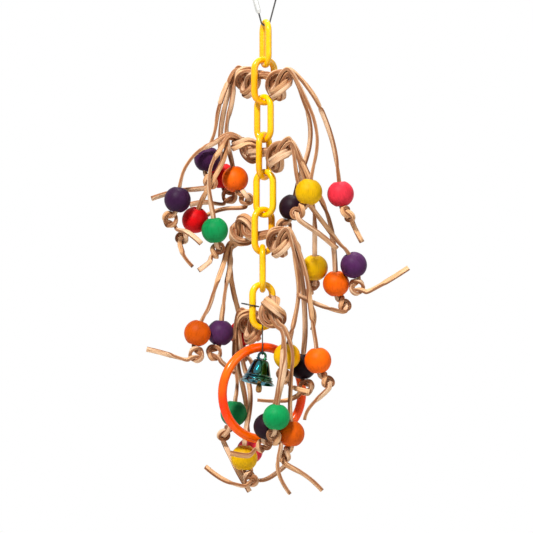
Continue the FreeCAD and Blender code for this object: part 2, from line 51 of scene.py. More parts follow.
cameraSettings = {"lens": 200, "sensor": 36, "viewWidth": 0.39975, "middle": (0.00075, 0, -0.2291)}


def makeCamera(s):
    data = bpy.data.cameras.new("photoCamera")
    data.lens = s["lens"]
    data.sensor_width = s["sensor"]
    data.clip_end = 20
    camera = bpy.data.objects.new("photoCamera", data)
    distance = s["viewWidth"] * s["lens"] / s["sensor"]
    camera.location = Vector(s["middle"]) - Vector((0, distance, 0))
    camera.rotation_euler = (math.radians(90), 0, 0)
    bpy.context.collection.objects.link(camera)
    bpy.context.scene.camera = camera


makeCamera(cameraSettings)


# node helpers

def newMaterial(name):
    material = bpy.data.materials.new(name)
    material.use_nodes = True
    tree = material.node_tree
    tree.nodes.clear()
    output = tree.nodes.new("ShaderNodeOutputMaterial")
    shader = tree.nodes.new("ShaderNodeBsdfPrincipled")
    tree.links.new(shader.outputs["BSDF"], output.inputs["Surface"])
    return material, tree, shader


def addNode(tree, kind, inputs=None, **settings):
    node = tree.nodes.new(kind)
    for key, value in settings.items():
        setattr(node, key, value)
    for key, value in (inputs or {}).items():
        if isinstance(value, bpy.types.NodeSocket):
            tree.links.new(value, node.inputs[key])
        else:
            node.inputs[key].default_value = value
    return node


def ramp(tree, factor, stops):
    node = addNode(tree, "ShaderNodeValToRGB", {"Fac": factor})
    elements = node.color_ramp.elements
    while len(elements) < len(stops):
        elements.new(0.5)
    for element, (place, colour) in zip(elements, stops):
        element.position = place
        element.color = colour if len(colour) == 4 else (*colour, 1)
    return node.outputs["Color"]


def mixColour(tree, factor, first, second, blend="MIX"):
    node = addNode(tree, "ShaderNodeMix", data_type="RGBA", blend_type=blend)
    for index, value in ((0, factor), (6, first), (7, second)):
        if isinstance(value, bpy.types.NodeSocket):
            tree.links.new(value, node.inputs[index])
        elif index == 0:
            node.inputs[0].default_value = value
        else:
            node.inputs[index].default_value = (*value[:3], 1)
    return node.outputs[2]


def maths(tree, operation, first, second=None):
    node = addNode(tree, "ShaderNodeMath", operation=operation)
    for index, value in ((0, first), (1, second)):
        if isinstance(value, bpy.types.NodeSocket):
            tree.links.new(value, node.inputs[index])
        elif value is not None:
            node.inputs[index].default_value = value
    return node.outputs[0]


def bumpFrom(tree, shader, height, strength, distance):
    bump = addNode(tree, "ShaderNodeBump", {"Height": height, "Strength": strength, "Distance": distance})
    tree.links.new(bump.outputs["Normal"], shader.inputs["Normal"])


def ownPlace(tree):
    # the piece's own coordinates, and the same moved by the copy's seed so that no two copies look alike
    own = addNode(tree, "ShaderNodeAttribute", attribute_name="own").outputs["Vector"]
    seed = addNode(tree, "ShaderNodeAttribute", attribute_name="seed").outputs["Fac"]
    moved = addNode(tree, "ShaderNodeVectorMath", {0: own}, operation="ADD")
    tree.links.new(addNode(tree, "ShaderNodeCombineXYZ", {"X": seed, "Y": seed}).outputs[0], moved.inputs[1])
    return own, moved.outputs[0]


def newGroup(name, inputs, outputs):
    tree = bpy.data.node_groups.new(name, "ShaderNodeTree")
    for label, kind, value in inputs:
        socket = tree.interface.new_socket(name=label, in_out="INPUT", socket_type=kind)
        if value is not None:
            socket.default_value = value
    for label, kind in outputs:
        tree.interface.new_socket(name=label, in_out="OUTPUT", socket_type=kind)
    return tree, tree.nodes.new("NodeGroupInput"), tree.nodes.new("NodeGroupOutput")


# shared effects

def makeMottle():
    tree, given, result = newGroup(
        "mottle",
        [("Place", "NodeSocketVector", None), ("Scale", "NodeSocketFloat", 60.0),
         ("Stretch", "NodeSocketVector", (1, 1, 1))],
        [("Broad", "NodeSocketFloat"), ("Fine", "NodeSocketFloat")])
    mapping = addNode(tree, "ShaderNodeMapping", {"Vector": given.outputs["Place"],
                                                  "Scale": given.outputs["Stretch"]})
    broad = addNode(tree, "ShaderNodeTexNoise", {"Vector": mapping.outputs["Vector"],
                                                 "Scale": given.outputs["Scale"], "Detail": 3.0})
    fineScale = maths(tree, "MULTIPLY", given.outputs["Scale"], 14.0)
    fine = addNode(tree, "ShaderNodeTexNoise", {"Vector": mapping.outputs["Vector"],
                                                "Scale": fineScale, "Detail": 4.0})
    tree.links.new(broad.outputs["Fac"], result.inputs["Broad"])
    tree.links.new(fine.outputs["Fac"], result.inputs["Fine"])
    return tree


mottle = makeMottle()


def addMottle(tree, scale, stretch=(1, 1, 1), place=None):
    node = tree.nodes.new("ShaderNodeGroup")
    node.node_tree = mottle
    tree.links.new(place or addNode(tree, "ShaderNodeTexCoord").outputs["Object"], node.inputs["Place"])
    node.inputs["Scale"].default_value = scale
    node.inputs["Stretch"].default_value = stretch
    return node


# materials

# the colour given for the cut edges is a painted shade, for the shade on the strip's flanks
leatherLook = {"skin": (0.78, 0.455, 0.225), "flesh": (0.80, 0.54, 0.335), "cut": (0.27, 0.085, 0.022),
               "dark": (0.28, 0.085, 0.022), "roughness": 0.75}


def makeLeather(s):
    material, tree, shader = newMaterial("laceLeather")
    strip = addNode(tree, "ShaderNodeUVMap", uv_map="strip")
    parts = addNode(tree, "ShaderNodeSeparateXYZ", {"Vector": strip.outputs["UV"]})
    along, around = parts.outputs["X"], parts.outputs["Y"]
    # fibres and creases run along the lace
    fibreMap = addNode(tree, "ShaderNodeCombineXYZ", {"X": maths(tree, "MULTIPLY", along, 70.0),
                                                      "Y": maths(tree, "MULTIPLY", around, 26.0)})
    fibre = addNode(tree, "ShaderNodeTexNoise", {"Vector": fibreMap.outputs["Vector"], "Scale": 1.0, "Detail": 5.0,
                                                 "Roughness": 0.65})
    patchMap = addNode(tree, "ShaderNodeCombineXYZ", {"X": maths(tree, "MULTIPLY", along, 38.0),
                                                      "Y": maths(tree, "MULTIPLY", around, 3.0)})
    patch = addNode(tree, "ShaderNodeTexNoise", {"Vector": patchMap.outputs["Vector"], "Scale": 1.0, "Detail": 2.0})
    # the section runs skin side, cut edge, flesh side, cut edge; both cut edges get a painted shade, a dark brown for
    # the shade on the strip's flanks and in the gaps between strips
    wave = maths(tree, "COSINE", maths(tree, "MULTIPLY", around, 2 * math.pi))
    halfWave = maths(tree, "ADD", maths(tree, "MULTIPLY", wave, 0.5), 0.5)
    side = ramp(tree, halfWave, [(0.20, s["flesh"]), (0.33, s["cut"]), (0.67, s["cut"]), (0.80, s["skin"])])
    worn = mixColour(tree, maths(tree, "MULTIPLY", fibre.outputs["Fac"], 0.35), side, s["flesh"])
    patches = ramp(tree, patch.outputs["Fac"], [(0.36, (0.70, 0.54, 0.42)), (0.58, (1.0, 1.0, 1.0))])
    colour = mixColour(tree, 0.85, worn, patches, "MULTIPLY")
    # painted shade in the creases: where the fibre noise is low, which the bump makes into dips, the colour is darkened
    creaseShade = ramp(tree, fibre.outputs["Fac"], [(0.36, s["dark"]), (0.47, (1, 1, 1))])
    colour = mixColour(tree, 0.75, colour, creaseShade, "MULTIPLY")
    tree.links.new(colour, shader.inputs["Base Color"])
    shader.inputs["Roughness"].default_value = s["roughness"]
    shader.inputs["Specular IOR Level"].default_value = 0.12
    shader.inputs["Sheen Weight"].default_value = 0.06
    shader.inputs["Sheen Roughness"].default_value = 0.5
    shader.inputs["Sheen Tint"].default_value = (1.0, 0.86, 0.72, 1)
    bumpFrom(tree, shader, fibre.outputs["Fac"], 0.55, 0.0004)
    return material


beadColours = {
    "bead_purple": (0.050, 0.010, 0.055),
    "bead_dark_purple": (0.012, 0.001, 0.006),
    "bead_red": (0.64, 0.001, 0.003),
    "bead_pink_red": (0.75, 0.030, 0.055),
    "bead_orange": (0.88, 0.125, 0.0),
    "bead_yellow": (0.84, 0.47, 0.0),
    "bead_green": (0.001, 0.245, 0.062),
}


def makeDyedWood(name, colour):
    material, tree, shader = newMaterial(name)
    own, moved = ownPlace(tree)
    tone = addNode(tree, "ShaderNodeAttribute", attribute_name="tone").outputs["Fac"]
    grain = addMottle(tree, 70.0, (1.0, 1.0, 0.16), moved)
    blotch = addMottle(tree, 42.0, (1.0, 1.0, 1.0), moved)
    height = addNode(tree, "ShaderNodeSeparateXYZ", {"Vector": own}).outputs["Z"]
    # the dye lies unevenly over the long grain, and the tool left fine rings round the bead
    shade = tuple(c * 0.72 for c in colour)
    pale = tuple(min(1.0, c * 1.12 + 0.01) for c in colour)
    base = ramp(tree, blotch.outputs["Broad"], [(0.30, shade), (0.50, colour), (0.74, pale)])
    pores = ramp(tree, grain.outputs["Fine"], [(0.34, (0.48, 0.45, 0.45)), (0.47, (1, 1, 1))])
    dyed = mixColour(tree, 0.32, base, pores, "MULTIPLY")
    streaks = ramp(tree, grain.outputs["Broad"], [(0.38, (0.72, 0.70, 0.70)), (0.56, (1, 1, 1))])
    dyed = mixColour(tree, 0.35, dyed, streaks, "MULTIPLY")
    rings = maths(tree, "SINE", maths(tree, "MULTIPLY", height, 9500.0))
    rings = maths(tree, "MULTIPLY", rings, maths(tree, "SUBTRACT", blotch.outputs["Fine"], 0.32))
    # the dye is rubbed thin on the rims at the bore
    rim = addNode(tree, "ShaderNodeMapRange", {"Value": maths(tree, "ABSOLUTE", height), "From Min": 0.0086,
                                               "From Max": 0.0092})
    rubbed = maths(tree, "MULTIPLY", rim.outputs["Result"], maths(tree, "MULTIPLY", blotch.outputs["Fine"], 0.75))
    worn = tuple(0.75 * c + 0.04 for c in colour)
    finish = mixColour(tree, rubbed, dyed, worn)
    toned = addNode(tree, "ShaderNodeCombineColor", {"Red": tone, "Green": tone, "Blue": tone})
    finish = mixColour(tree, 1.0, finish, toned.outputs["Color"], "MULTIPLY")
    tree.links.new(finish, shader.inputs["Base Color"])
    rough = maths(tree, "ADD", maths(tree, "MULTIPLY", grain.outputs["Fine"], 0.30), 0.34)
    tree.links.new(rough, shader.inputs["Roughness"])
    shader.inputs["Specular IOR Level"].default_value = 0.1
    relief = maths(tree, "ADD", grain.outputs["Fine"], maths(tree, "MULTIPLY", rings, 0.35))
    bumpFrom(tree, shader, relief, 0.30, 0.0003)
    return material


plasticLooks = {
    "chain_plastic": {"name": "chainPlastic", "colour": (0.97, 0.56, 0.0), "deep": (0.88, 0.37, 0.0), "roughness": 0.17,
                      "translucent": 0.12, "seamAxis": "Y", "shine": 0.34},
    "ring_plastic": {"name": "ringPlastic", "colour": (1.0, 0.135, 0.0), "deep": (0.90, 0.025, 0.0), "roughness": 0.16,
                     "translucent": 0.0, "seamAxis": "Z", "shine": 0.22},
}


def makePlastic(s):
    material, tree, shader = newMaterial(s["name"])
    own, moved = ownPlace(tree)
    flow = addMottle(tree, 28.0, (1.0, 1.0, 0.4), moved)
    base = ramp(tree, flow.outputs["Broad"], [(0.30, s["deep"]), (0.62, s["colour"])])
    # fine scuffs take the shine off in places
    scuffs = addNode(tree, "ShaderNodeMapRange", {"Value": flow.outputs["Fine"], "From Min": 0.55, "From Max": 0.75,
                                                  "To Min": s["roughness"], "To Max": s["roughness"] + 0.28})
    # the mould's line lies on the piece's own middle plane
    seam = maths(tree, "ABSOLUTE", addNode(tree, "ShaderNodeSeparateXYZ", {"Vector": own}).outputs[s["seamAxis"]])
    line = addNode(tree, "ShaderNodeMapRange", {"Value": seam, "From Min": 0.00028, "From Max": 0.00008})
    edge = mixColour(tree, maths(tree, "MULTIPLY", line.outputs["Result"], 0.45), base, s["deep"])
    tree.links.new(edge, shader.inputs["Base Color"])
    tree.links.new(scuffs.outputs["Result"], shader.inputs["Roughness"])
    shader.inputs["Specular IOR Level"].default_value = s["shine"]
    shader.inputs["Subsurface Weight"].default_value = s["translucent"]
    shader.inputs["Subsurface Radius"].default_value = (0.004, 0.002, 0.0006)
    shader.inputs["Subsurface Scale"].default_value = 1.0
    relief = maths(tree, "ADD", maths(tree, "MULTIPLY", flow.outputs["Broad"], 0.3), line.outputs["Result"])
    bumpFrom(tree, shader, relief, 0.1, 0.0003)
    return material


# the green is a painted reflection on one side of the bell
lacquerLook = {"teal": (0.004, 0.115, 0.165), "green": (0.004, 0.125, 0.03), "rim": (0.25, 0.62, 0.70),
               "deep": (0.001, 0.02, 0.035), "reflectionSide": -0.75, "coat": 0.7}


def makeBellLacquer(s):
    # clear coloured lacquer over polished metal, nearly black where it mirrors nothing bright
    material, tree, shader = newMaterial("bellLacquer")
    own = addNode(tree, "ShaderNodeAttribute", attribute_name="own").outputs["Vector"]
    marks = addMottle(tree, 130.0, (1.0, 1.0, 0.6), own)
    parts = addNode(tree, "ShaderNodeSeparateXYZ", {"Vector": own})
    # round the bell the colour runs from teal to a painted reflection, green, on the side that faces the given angle
    aroundBell = maths(tree, "ARCTAN2", parts.outputs["Y"], parts.outputs["X"])
    facing = maths(tree, "COSINE", maths(tree, "SUBTRACT", aroundBell, s["reflectionSide"]))
    greenReflection = maths(tree, "ADD", maths(tree, "MULTIPLY", facing, 0.5), 0.5)
    tint = ramp(tree, greenReflection, [(0.70, s["teal"]), (0.93, s["green"])])
    # painted highlight: towards the lip the lacquer is paled toward the light cyan given as rim
    edge = addNode(tree, "ShaderNodeMapRange", {"Value": parts.outputs["Z"], "From Min": -0.0195, "From Max": -0.0212})
    tint = mixColour(tree, maths(tree, "MULTIPLY", edge.outputs["Result"], 0.35), tint, s["rim"])
    base = mixColour(tree, maths(tree, "MULTIPLY", marks.outputs["Broad"], 0.3), tint, s["deep"])
    tree.links.new(base, shader.inputs["Base Color"])
    shader.inputs["Metallic"].default_value = 1.0
    rough = addNode(tree, "ShaderNodeMapRange", {"Value": marks.outputs["Fine"], "To Min": 0.05, "To Max": 0.16})
    tree.links.new(rough.outputs["Result"], shader.inputs["Roughness"])
    shader.inputs["Coat Weight"].default_value = s["coat"]
    shader.inputs["Coat Roughness"].default_value = 0.05
    bumpFrom(tree, shader, marks.outputs["Fine"], 0.16, 0.0003)
    return material


metalLooks = {
    "clapper_metal": {"name": "clapperMetal", "colour": (0.42, 0.22, 0.07), "worn": (0.20, 0.13, 0.05),
                      "roughness": 0.38},
    "hanger_wire": {"name": "hangerWire", "colour": (0.11, 0.105, 0.10), "worn": (0.04, 0.04, 0.04),
                    "roughness": 0.28},
    "barrel_metal": {"name": "barrelMetal", "colour": (0.75, 0.75, 0.72), "worn": (0.55, 0.55, 0.53),
                     "roughness": 0.42},
    "small_wire": {"name": "smallWire", "colour": (0.075, 0.07, 0.065), "worn": (0.03, 0.03, 0.03),
                   "roughness": 0.2},
}


def makeMetal(s):
    material, tree, shader = newMaterial(s["name"])
    marks = addMottle(tree, 120.0)
    base = ramp(tree, marks.outputs["Broad"], [(0.32, s["worn"]), (0.60, s["colour"])])
    tree.links.new(base, shader.inputs["Base Color"])
    shader.inputs["Metallic"].default_value = 1.0
    rough = addNode(tree, "ShaderNodeMapRange", {"Value": marks.outputs["Fine"], "To Min": s["roughness"] * 0.7,
                                                 "To Max": s["roughness"] * 1.4})
    tree.links.new(rough.outputs["Result"], shader.inputs["Roughness"])
    bumpFrom(tree, shader, marks.outputs["Fine"], 0.12, 0.0002)
    return material


materials = {slot: makeDyedWood(slot, colour) for slot, colour in beadColours.items()}
materials["lace_leather"] = makeLeather(leatherLook)
materials["bell_metal"] = makeBellLacquer(lacquerLook)
for slot, look in plasticLooks.items():
    materials[slot] = makePlastic(look)
for slot, look in metalLooks.items():
    materials[slot] = makeMetal(look)
print("materials made:", len(materials))

for name, item in frame["nodes"].items():
    item.data.materials.clear()
    item.data.materials.append(materials[slotOfNode[name]])


# modelling helpers

def deselectAll():
    bpy.ops.object.select_all(action="DESELECT")


def chooseOnly(item):
    deselectAll()
    item.select_set(True)
    bpy.context.view_layer.objects.active = item


def startEdit(item, kind="FACE"):
    chooseOnly(item)
    bpy.ops.object.mode_set(mode="EDIT")
    bpy.ops.mesh.select_mode(type=kind)


def endEdit():
    bpy.ops.object.mode_set(mode="OBJECT")


def turnNormalsOut(item):
    startEdit(item)
    bpy.ops.mesh.select_all(action="SELECT")
    bpy.ops.mesh.normals_make_consistent(inside=False)
    endEdit()


def pick(item, kind, test):
    # selects the verts, edges or faces that pass the test on their middle
    bpy.ops.mesh.select_all(action="DESELECT")
    bm = bmesh.from_edit_mesh(item.data)
    for part in getattr(bm, kind):
        middle = part.co if kind == "verts" else sum((v.co for v in part.verts), Vector()) / len(part.verts)
        if test(middle, part):
            part.select_set(True)
    bmesh.update_edit_mesh(item.data)


def applyPlace(item):
    chooseOnly(item)
    bpy.ops.object.transform_apply(location=True, rotation=True, scale=True)


def finishBevel(item, width, segments, angle=40):
    bevel = item.modifiers.new("softEdges", "BEVEL")
    bevel.width = width * mm
    bevel.segments = segments
    bevel.limit_method = "ANGLE"
    bevel.angle_limit = math.radians(angle)
    chooseOnly(item)
    bpy.ops.object.modifier_apply(modifier=bevel.name)


def smoothOver(item, angle=50):
    chooseOnly(item)
    bpy.ops.object.shade_smooth_by_angle(angle=math.radians(angle))


def turned(name, outline, segments):
    # a closed circle is extruded and scaled from each row of the outline to the next, and its end is closed
    deselectAll()
    radius, height = outline[0]
    bpy.ops.mesh.primitive_circle_add(vertices=segments, radius=radius * mm, location=(0, 0, height * mm))
    item = bpy.context.object
    item.name = name
    applyPlace(item)
    startEdit(item, "EDGE")
    bpy.ops.mesh.select_all(action="SELECT")
    bpy.ops.mesh.edge_face_add()
    pick(item, "edges", lambda middle, part: True)
    for nextRadius, nextHeight in outline[1:]:
        bpy.ops.mesh.extrude_edges_move(TRANSFORM_OT_translate={"value": (0, 0, (nextHeight - height) * mm)})
        scale = nextRadius / radius
        bpy.ops.transform.resize(value=(scale, scale, 1), center_override=(0, 0, nextHeight * mm))
        radius, height = nextRadius, nextHeight
    bpy.ops.mesh.edge_face_add()
    endEdit()
    turnNormalsOut(item)
    return item


def joinPieces(pieces, name):
    deselectAll()
    for item in pieces:
        item.select_set(True)
    bpy.context.view_layer.objects.active = pieces[0]
    bpy.ops.object.join()
    pieces[0].name = name
    return pieces[0]


def placeCopy(model, name, matrix, slot, seed, tone=1.0):
    # each copy has its own mesh, which keeps its own coordinates as an attribute for its finish
    mesh = model.data.copy()
    mesh.name = name
    count = len(mesh.vertices)
    own = mesh.attributes.new("own", "FLOAT_VECTOR", "POINT")
    own.data.foreach_set("vector", [c for v in mesh.vertices for c in v.co])
    for label, value in (("seed", seed), ("tone", tone)):
        mesh.attributes.new(label, "FLOAT", "POINT").data.foreach_set("value", [value] * count)
    mesh.transform(matrix)
    mesh.materials.clear()
    mesh.materials.append(materials[slot])
    item = bpy.data.objects.new(name, mesh)
    bpy.context.collection.objects.link(item)
    return item


def leanAndTilt(s):
    return Matrix.Rotation(math.radians(s["lean"]), 4, "X") @ Matrix.Rotation(math.radians(s["tilt"]), 4, "Y")


def discard(model):
    mesh = model.data
    bpy.data.objects.remove(model)
    bpy.data.meshes.remove(mesh)


# chain links

linkSizes = {"height": 36.95, "width": 20.0, "wire": 4.3, "leg": 5.3, "across": 4.7, "seat": 4.15, "first": -61.9,
             "pitch": 28.1, "turns": [-73, 20, -50, 61, -38, 36, -89, 20],
             "shifts": [0.0, -0.9, -1.2, -1.0, -0.6, -1.7, -2.2, -2.3]}


def makeLinkModel(s):
    bend = (s["width"] - s["wire"]) / 2 * mm
    half = (s["height"] - s["width"]) / 2 * mm
    deselectAll()
    bpy.ops.mesh.primitive_torus_add(major_segments=48, minor_segments=20, major_radius=bend,
                                     minor_radius=s["wire"] / 2 * mm, rotation=(math.pi / 2, 0, 0))
    item = bpy.context.object
    applyPlace(item)
    startEdit(item)
    for sign in (1, -1):
        pick(item, "faces", lambda middle, part: middle.z * sign > 0)
        bpy.ops.mesh.split()
        bpy.ops.transform.translate(value=(0, 0, sign * half))
    bpy.ops.mesh.select_mode(type="EDGE")
    for side in (1, -1):
        pick(item, "edges", lambda middle, part: part.is_boundary and middle.x * side > 0)
        bpy.ops.mesh.bridge_edge_loops(number_cuts=9)
    endEdit()
    # the legs are fuller than the ends, where the links bear on each other
    for vertex in item.data.vertices:
        x, y, z = vertex.co
        side = 1 if x > 0 else -1
        if abs(z) <= half:
            middle, leg = Vector((side * bend, 0, z)), 1.0
        else:
            centre = Vector((0, 0, half if z > 0 else -half))
            out = Vector((x, 0, z)) - centre
            leg = (abs(out.x) / out.length) ** 1.5
            middle = centre + out.normalized() * bend
        off = vertex.co - middle
        plane = (s["seat"] + (s["leg"] - s["seat"]) * leg) / s["wire"]
        across = (s["wire"] + (s["across"] - s["wire"]) * leg) / s["wire"]
        vertex.co = middle + Vector((off.x * plane, off.y * across, off.z * plane))
    turnNormalsOut(item)
    smoothOver(item, 60)
    return item


linkModel = makeLinkModel(linkSizes)
for number, (turn, shift) in enumerate(zip(linkSizes["turns"], linkSizes["shifts"]), start=1):
    place = Matrix.Translation(Vector((shift, 0, linkSizes["first"] - (number - 1) * linkSizes["pitch"])) * mm)
    link = placeCopy(linkModel, f"chainLink{number}", place @ Matrix.Rotation(math.radians(turn), 4, "Z"),
                     "chain_plastic", number * 0.31)
    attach(link, "top_link" if number == 1 else "chain")
    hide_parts(f"chain_link_{number}")
discard(linkModel)
print("chain links made:", number)


# ring

ringSizes = {"width": 75.5, "tube": 6.8, "turn": 30, "top": -289.625, "x": -2.3, "line": 1.0025}


def makeRing(s):
    deselectAll()
    bend = (s["width"] - s["tube"]) / 2
    bpy.ops.mesh.primitive_torus_add(major_segments=160, minor_segments=32, major_radius=bend * mm,
                                     minor_radius=s["tube"] / 2 * mm)
    item = bpy.context.object
    startEdit(item, "EDGE")
    # the mould's line runs round the outside as a low ridge
    outside = (bend + s["tube"] / 2) * mm
    pick(item, "verts", lambda middle, part: math.hypot(middle.x, middle.y) > outside - 0.00002)
    bpy.ops.transform.resize(value=(s["line"], s["line"], 1), center_override=(0, 0, 0))
    endEdit()
    smoothOver(item, 60)
    place = Matrix.Translation(Vector((s["x"], 0, s["top"] - bend)) * mm)
    turn = Matrix.Rotation(math.radians(s["turn"]), 4, "Z") @ Matrix.Rotation(math.pi / 2, 4, "X")
    ring = placeCopy(item, "orangeRing", place @ turn, "ring_plastic", 3.7)
    discard(item)
    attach(ring, "ring")
    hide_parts("orange_ring")


makeRing(ringSizes)


# bell, turned from its outside down to the lip and up its inside, with an eyelet on its crown

bellSizes = {"place": (-2.3, 0, -295.175), "lean": -9, "tilt": 10.5, "eyeletLevel": -1.3, "eyeletBend": 2.65,
             "eyeletWire": 0.95, "tab": 1.35, "tabLevel": -2.5, "tabDepth": 1.5, "barLevel": -7.84,
             "bar": 0.45, "barLength": 13.2,
             "outline": [(0.5, -3.9), (3.4, -4.0), (5.3, -4.6), (6.3, -6.0), (7.4, -9.2), (8.5, -12.8), (9.5, -15.6),
                         (10.0, -16.3), (10.6, -16.5), (10.8, -16.9), (10.6, -17.3), (10.3, -17.6), (10.8, -18.2),
                         (11.4, -18.4), (11.6, -18.8), (11.4, -19.2), (11.5, -19.6), (12.4, -20.5), (13.15, -21.3),
                         (13.25, -21.6), (12.9, -21.7), (12.0, -20.9), (10.7, -19.3), (9.4, -17.0), (8.6, -15.1),
                         (7.6, -12.3), (6.5, -8.9), (5.4, -6.6), (4.2, -5.3), (0.5, -4.8)]}


def makeBell(s):
    wall = turned("bellWall", s["outline"], 96)
    deselectAll()
    bpy.ops.mesh.primitive_torus_add(major_segments=40, minor_segments=14, major_radius=s["eyeletBend"] * mm,
                                     minor_radius=s["eyeletWire"] * mm, location=(0, 0, s["eyeletLevel"] * mm),
                                     rotation=(math.pi / 2, 0, 0))
    eyelet = bpy.context.object
    applyPlace(eyelet)
    startEdit(eyelet, "VERT")
    # its foot spreads into a tab on the crown
    foot = s["tabLevel"] * mm
    pick(eyelet, "verts", lambda middle, part: middle.z < foot)
    bpy.ops.transform.resize(value=(s["tab"], s["tabDepth"], 1), center_override=(0, 0, foot))
    endEdit()
    deselectAll()
    bpy.ops.mesh.primitive_cylinder_add(vertices=16, radius=s["bar"] * mm, depth=s["barLength"] * mm,
                                        location=(0, 0, s["barLevel"] * mm), rotation=(math.pi / 2, 0, 0))
    bar = bpy.context.object
    applyPlace(bar)
    model = joinPieces([wall, eyelet, bar], "bellModel")
    smoothOver(model, 50)
    place = Matrix.Translation(Vector(s["place"]) * mm)
    bell = placeCopy(model, "lacqueredBell", place @ leanAndTilt(s), "bell_metal", 1.3)
    discard(model)
    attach(bell, "bell")
    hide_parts("bell")


makeBell(bellSizes)


# clapper: a cast drop on a flat shaft with an eye

clapperSizes = {"place": (-3.729, -1.206, -302.788), "lean": -9, "tilt": 4, "hang": -0.125, "eye": 1.125,
                "wire": 0.45, "shaft": (2.7, 1.0, 14.6), "shaftMiddle": -8.4, "soft": 0.25,
                "outline": [(0.5, -13.6), (1.2, -14.0), (1.75, -14.9), (2.1, -16.2), (2.3, -17.6), (2.3, -18.9),
                            (2.0, -20.0), (1.35, -20.75), (0.4, -21.0)]}


def makeClapper(s):
    drop = turned("clapperDrop", s["outline"], 32)
    deselectAll()
    bpy.ops.mesh.primitive_cube_add(size=1, location=(0, 0, s["shaftMiddle"] * mm))
    shaft = bpy.context.object
    shaft.scale = [side * mm for side in s["shaft"]]
    applyPlace(shaft)
    finishBevel(shaft, s["soft"], 3)
    deselectAll()
    bpy.ops.mesh.primitive_torus_add(major_segments=28, minor_segments=12, major_radius=s["eye"] * mm,
                                     minor_radius=s["wire"] * mm, rotation=(math.pi / 2, 0, 0))
    eye = bpy.context.object
    applyPlace(eye)
    model = joinPieces([drop, shaft, eye], "clapperModel")
    smoothOver(model, 50)
    hung = Matrix.Translation((0, 0, s["hang"] * mm))
    place = Matrix.Translation(Vector(s["place"]) * mm) @ leanAndTilt(s) @ hung
    clapper = placeCopy(model, "brassClapper", place, "clapper_metal", 0.4)
    discard(model)
    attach(clapper, "clapper")
    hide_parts("clapper")


makeClapper(clapperSizes)
print("ring, bell and clapper made")


# laces: their route's points as in the part's source, moved a little where the photo asks for it

laceSizes = {"wide": 3.6, "thick": 2.5, "corner": 0.5, "pitch": 3.3, "gap": 0.1, "smallKnot": 2.8, "bigKnot": 5.5,
             "beadLength": 18.2, "beadToKnot": 1.95, "beadEntry": 3.5, "sag": 0.6, "plumb": 0.35,
             "closest": 0.3, "spread": 5.0, "swell": 0.05, "rough": 0.02}

# middles of the links that carry a level
linkCentres = {2: (-0.9, 0, -90.0), 4: (-1.0, 0, -146.2), 6: (-1.7, 0, -202.4), 8: (-2.3, 0, -258.6)}

# an overhand knot of unit size: its first half, then the same turned half round, and its way out
knotHalf = [(-1.55, -1.25, 0.4), (-0.55, -0.75, 1.75), (-0.7, 0.2, 3.3), (0.6, 1.3, 3.35),
            (1.75, 1.25, 2.5), (1.75, -0.05, 1.35), (0.8, -0.3, 0.2)]
knotTurns = knotHalf + [(-x, -y, z) for x, y, z in reversed(knotHalf)] + [(2.45, 1.0, -0.1)]
knotLag = math.atan2(1.1, 1.25)

# each knot: its distance from the link, angle, height, roll, hand and size
levels = {
    1: {"link": 2, "phase": 0, "orders": ("acb", "edf"),
        "left": (12, -33, -83.5, 240, 1, 1.0), "right": (9.3, -33, -87.5, 120, 1, 1.0)},
    2: {"link": 4, "phase": 90, "orders": ("bac", "def"),
        "left": (8.5, -18, -143.5, 300, 1, 1.0), "right": (11, -35, -142.5, 105, 1, 1.0)},
    3: {"link": 6, "phase": 0, "orders": ("abc", "def"),
        "left": (12, -24, -208, 300, -1, 1.0), "right": (10, -33, -203.5, 130, 1, 1.0)},
    4: {"link": 8, "phase": 105, "orders": ("cba", "efd"),
        "left": (8, -36, -267.5, 240, 1, 1.12), "right": (7.5, -40, -270, 60, -1, 1.1)},
}

